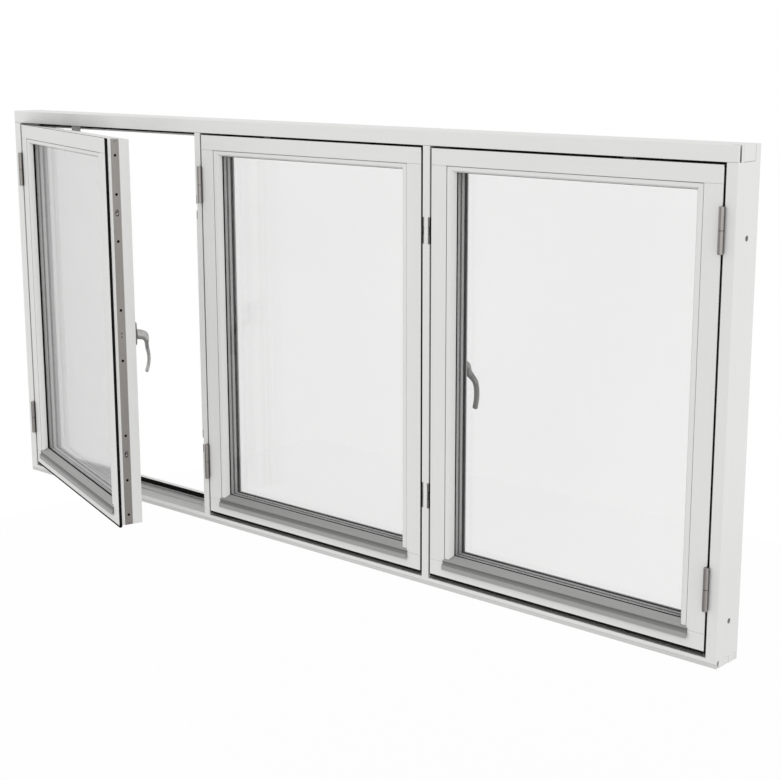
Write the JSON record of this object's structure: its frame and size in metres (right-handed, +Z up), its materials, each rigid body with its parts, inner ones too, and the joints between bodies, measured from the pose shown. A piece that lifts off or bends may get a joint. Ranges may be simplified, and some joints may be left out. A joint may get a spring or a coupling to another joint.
{
  "type": "side-hung casement window",
  "caption": "White timber window whose side-hung sashes open outwards, with triple panes, bevelled beads, aluminium drip beads, lift-off hinges and lever handles.",
  "frame": {"origin": "on the underside of the sill, in the middle of the frame's width and depth", "axes": "+X to the right as seen from outside, +Y into the building, +Z up"},
  "size_m": [2.38, 0.3734, 1.08],
  "materials": {
    "timber": "white satin paint",
    "glass": "clear float glass",
    "aluminium": "natural anodised",
    "spacer": "matt grey",
    "rubber": "black, matt",
    "steel": "zinc plated, satin",
    "hinge": "satin",
    "handle": "satin grey"
  },
  "bodies": {
    "frame": {"head": "timber", "sill": "timber", "left_jamb": "timber", "right_jamb": "timber", "left_mullion": "timber", "right_mullion": "timber", "sill_profiles": "aluminium", "stop_seals": "rubber", "keeps": "steel", "stay_blocks": "steel", "left_frame_hinges": "hinge", "middle_frame_hinges": "hinge", "right_frame_hinges": "hinge"},
    "left_sash": {"left_top_rail": "timber", "left_foot_rail": "timber", "left_hinge_stile": "timber", "left_lock_stile": "timber", "left_foot_bead": "aluminium", "left_glazing_beads": "timber", "left_panes": "glass", "left_spacers": "spacer", "left_seals": "rubber", "left_faceplate": "steel", "left_sash_hinges": "hinge", "left_handle_rose": "handle"},
    "left_handle": {"left_handle": "handle"},
    "middle_sash": {"middle_top_rail": "timber", "middle_foot_rail": "timber", "middle_hinge_stile": "timber", "middle_lock_stile": "timber", "middle_foot_bead": "aluminium", "middle_glazing_beads": "timber", "middle_panes": "glass", "middle_spacers": "spacer", "middle_seals": "rubber", "middle_faceplate": "steel", "middle_sash_hinges": "hinge", "middle_handle_rose": "handle"},
    "middle_handle": {"middle_handle": "handle"},
    "right_sash": {"right_top_rail": "timber", "right_foot_rail": "timber", "right_hinge_stile": "timber", "right_lock_stile": "timber", "right_foot_bead": "aluminium", "right_glazing_beads": "timber", "right_panes": "glass", "right_spacers": "spacer", "right_seals": "rubber", "right_faceplate": "steel", "right_sash_hinges": "hinge", "right_handle_rose": "handle"},
    "right_handle": {"right_handle": "handle"}
  },
  "joints": [
    {"name": "left_sash_swing", "type": "hinge", "parent": "frame", "child": "left_sash", "pos_m": [-1.1615, -0.0488, 0.54], "axis": [0, 0, -1], "range_deg": [-19.7, 70.3]},
    {"name": "middle_sash_swing", "type": "hinge", "parent": "frame", "child": "middle_sash", "pos_m": [-0.3785, -0.0488, 0.54], "axis": [0, 0, -1], "range_deg": [0, 90]},
    {"name": "right_sash_swing", "type": "hinge", "parent": "frame", "child": "right_sash", "pos_m": [1.1615, -0.0488, 0.54], "axis": [0, 0, 1], "range_deg": [0, 90]},
    {"name": "left_handle_turn", "type": "hinge", "parent": "left_sash", "child": "left_handle", "pos_m": [-0.45422, -0.21675, 0.5365], "axis": [0.3371, 0.9415, 0], "range_deg": [0, 90]},
    {"name": "middle_handle_turn", "type": "hinge", "parent": "middle_sash", "child": "middle_handle", "pos_m": [0.344, 0.0315, 0.5365], "axis": [0, 1, 0], "range_deg": [0, 90]},
    {"name": "right_handle_turn", "type": "hinge", "parent": "right_sash", "child": "right_handle", "pos_m": [0.439, 0.0315, 0.5365], "axis": [0, -1, 0], "range_deg": [0, 90]}
  ]
}
